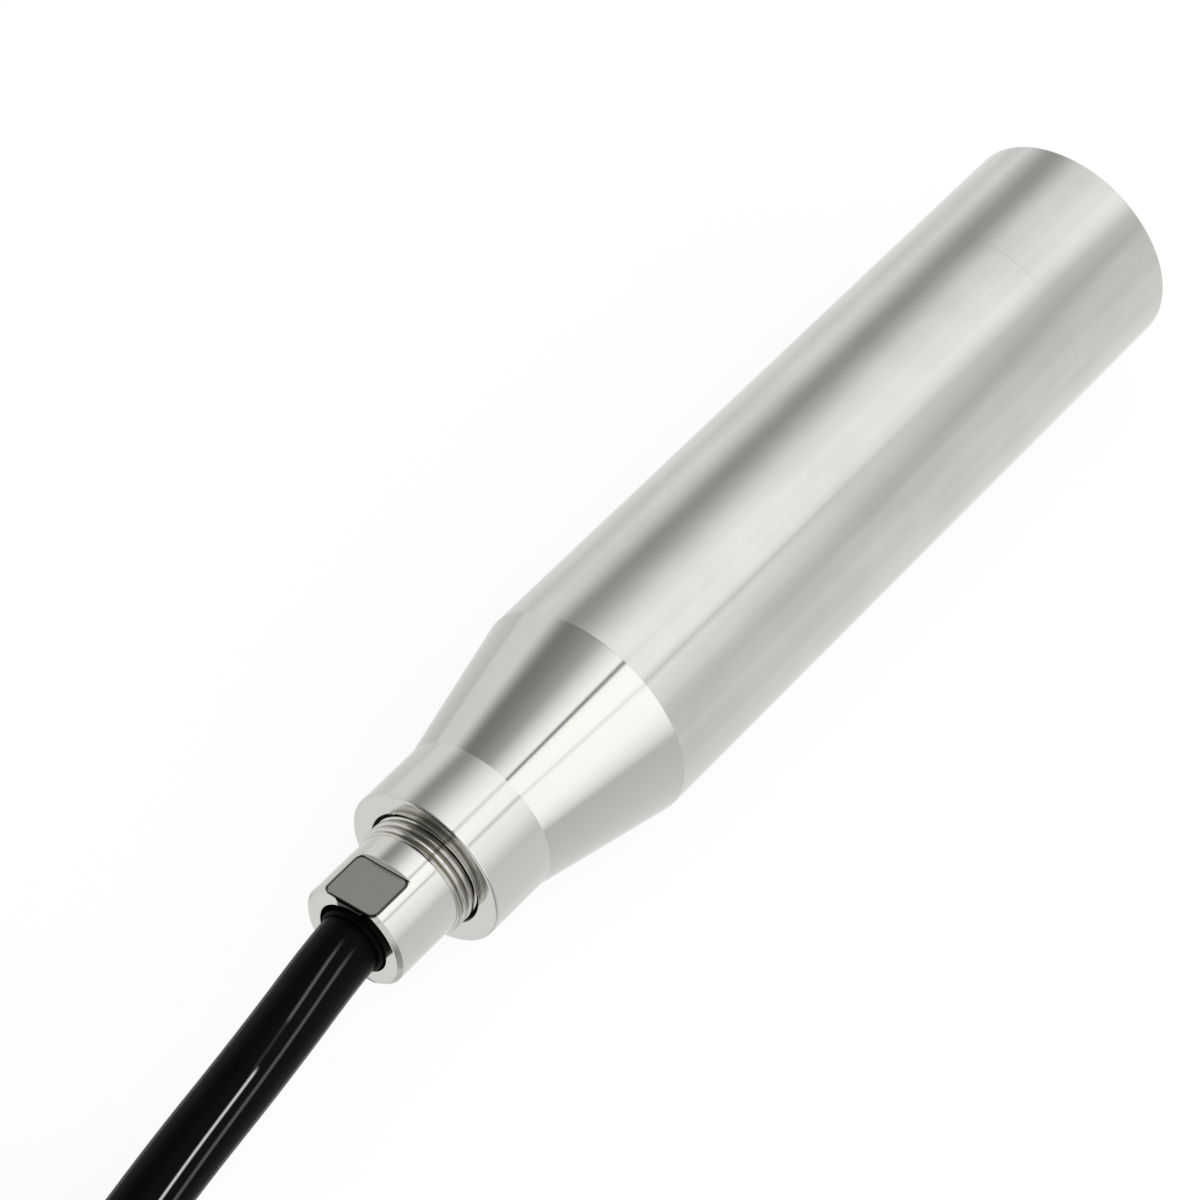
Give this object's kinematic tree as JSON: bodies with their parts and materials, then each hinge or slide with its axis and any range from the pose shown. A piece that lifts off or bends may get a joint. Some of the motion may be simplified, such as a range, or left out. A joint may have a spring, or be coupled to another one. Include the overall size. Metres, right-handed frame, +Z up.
{
  "type": "submersible level transmitter",
  "caption": "Round stainless submersible level probe with a flush ported nose cap, a coned neck, a hollow gland screw and a vented cable, lying on its side.",
  "frame": {"origin": "on the surface the probe lies on, straight below the middle of the probe's length from gland end to nose", "axes": "+X along the probe's axis towards the nose, +Z up, +Y to the side"},
  "size_m": [0.3748, 0.0727, 0.0681],
  "materials": {
    "stainless": "satin turned stainless steel with fine lines along the axis",
    "cell_steel": "fine turned stainless steel",
    "nickel": "bright nickel plating on brass",
    "gold_pins": "gold-flashed or bare wire",
    "rubber_black": "matt black elastomer",
    "jacket_black": "smooth black polyurethane jacket",
    "core_red": "red core insulation",
    "core_black": "black core insulation",
    "vent_clear": "natural polyamide tube",
    "sleeve_plastic": "natural insulating plastic",
    "board_green": "solder-masked glass-fibre board",
    "chip_black": "moulded packages",
    "capacitor_ochre": "moulded tantalum capacitors",
    "tie_black": "plastic-covered wire tie"
  },
  "bodies": {
    "probe": {"housing": "stainless", "sensor_cell": "cell_steel", "cell_o_ring": "rubber_black", "diaphragm": "cell_steel", "weld_ring": "cell_steel", "clamp_ring": "cell_steel", "header_pins": "gold_pins", "reference_tube": "cell_steel", "board_sleeve": "sleeve_plastic", "circuit_board": "board_green", "loop_driver": "chip_black", "amplifier": "chip_black", "surge_diode": "chip_black", "capacitors": "capacitor_ochre", "resistors": "chip_black", "seat_washer": "cell_steel", "cable_seal": "rubber_black", "red_core": "core_red", "black_core": "core_black", "vent_tube": "vent_clear", "cable": "jacket_black", "cable_hank": "jacket_black", "hank_ties": "tie_black", "cable_tail": "jacket_black", "tail_red_core": "core_red", "tail_black_core": "core_black", "tail_conductors": "gold_pins", "tail_vent_tube": "vent_clear"},
    "nose_cap": {"nose_cap": "stainless"},
    "thrust_washer": {"thrust_washer": "cell_steel"},
    "gland_screw": {"gland_screw": "nickel"}
  },
  "joints": [
    {"name": "nose_cap_off", "type": "slide", "parent": "probe", "child": "nose_cap", "axis": [1, 0, 0], "range_m": [0, 0.012]},
    {"name": "washer_slide", "type": "slide", "parent": "probe", "child": "thrust_washer", "axis": [-1, 0, 0], "range_m": [0, 0.005]},
    {"name": "gland_turn", "type": "hinge", "parent": "thrust_washer", "child": "gland_screw", "pos_m": [-0.058, 0, 0.014], "axis": [-1, 0, 0], "range_deg": [0, 1800]}
  ],
  "couplings": [
    {"joint": "washer_slide", "follows": "gland_turn", "m_per_rad": 0.00015915}
  ]
}
